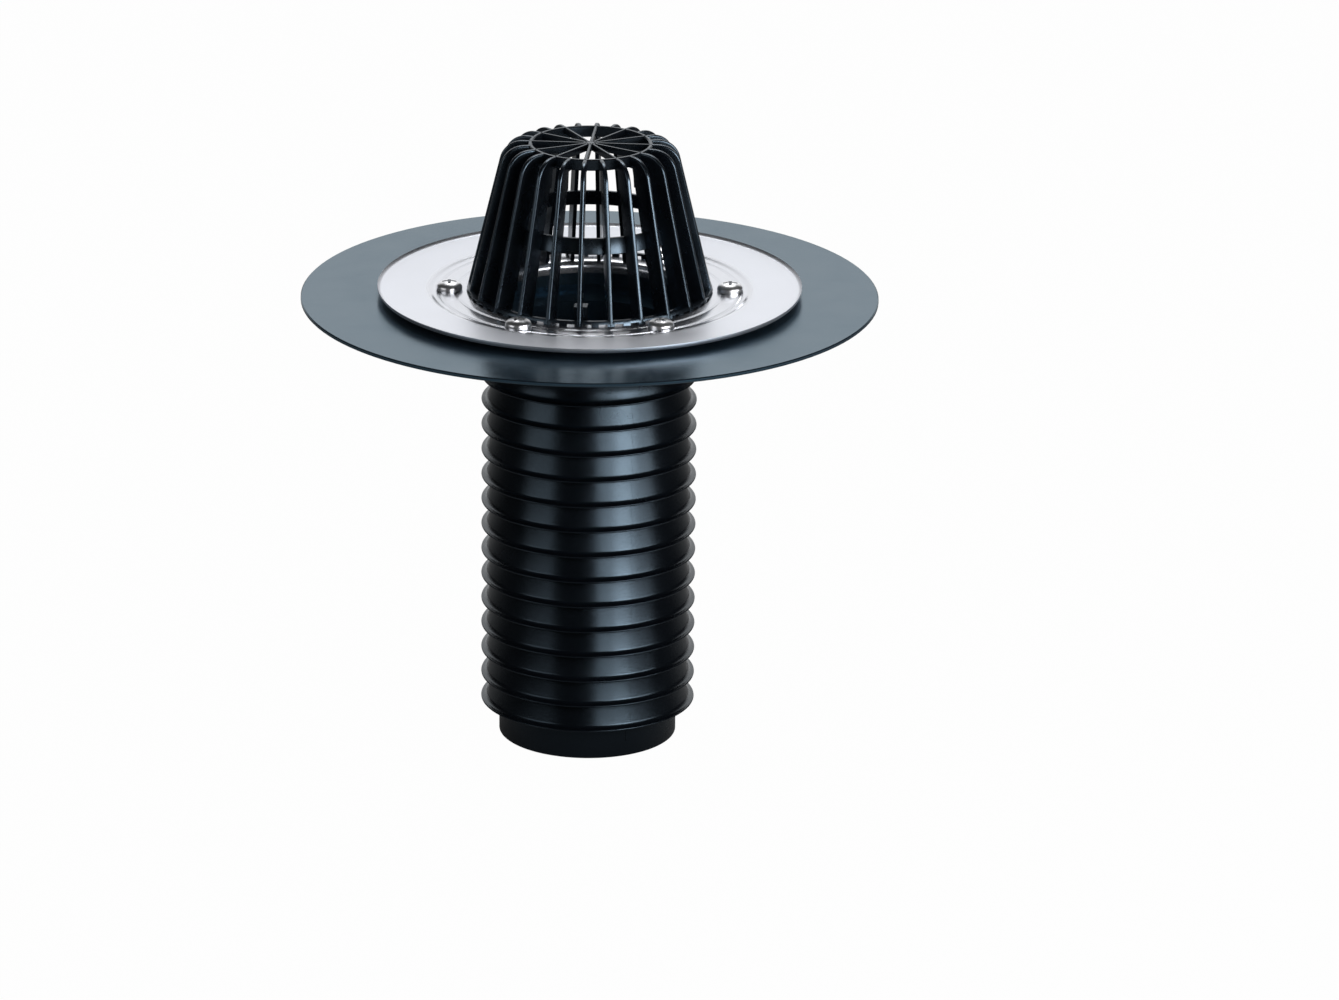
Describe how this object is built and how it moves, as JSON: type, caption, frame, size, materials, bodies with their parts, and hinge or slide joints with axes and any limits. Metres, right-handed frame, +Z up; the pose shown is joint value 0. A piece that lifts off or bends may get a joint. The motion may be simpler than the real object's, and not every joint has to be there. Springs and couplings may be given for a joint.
{
  "type": "flat roof drain",
  "caption": "Roof outlet with a wide flange, a polished clamping ring, a ribbed leaf guard and a flexible corrugated hose ending in a plain collar.",
  "frame": {"origin": "centre of the hose's lower end, which the part stands on", "axes": "+Z up along the drain's axis; +X through one of the clamping screws"},
  "size_m": [0.354, 0.354, 0.3803],
  "materials": {
    "body_plastic": "black moulded plastic with a fine grain and a satin sheen",
    "insert_brass": "turned brass",
    "seal_rubber": "matt black rubber sheet",
    "ring_steel": "polished stainless steel sheet",
    "screw_steel": "bright stainless steel",
    "guard_plastic": "black moulded plastic, satin",
    "hose_rubber": "black flexible plastic with a semi-gloss skin",
    "band_steel": "rolled stainless strip"
  },
  "bodies": {
    "root": {"drain_body": "body_plastic", "threaded_inserts": "insert_brass", "sealing_gasket": "seal_rubber", "clamping_ring": "ring_steel", "clamp_screws": "screw_steel", "leaf_guard": "guard_plastic", "corrugated_hose": "hose_rubber", "hose_band": "band_steel", "band_screw": "band_steel"}
  },
  "joints": []
}
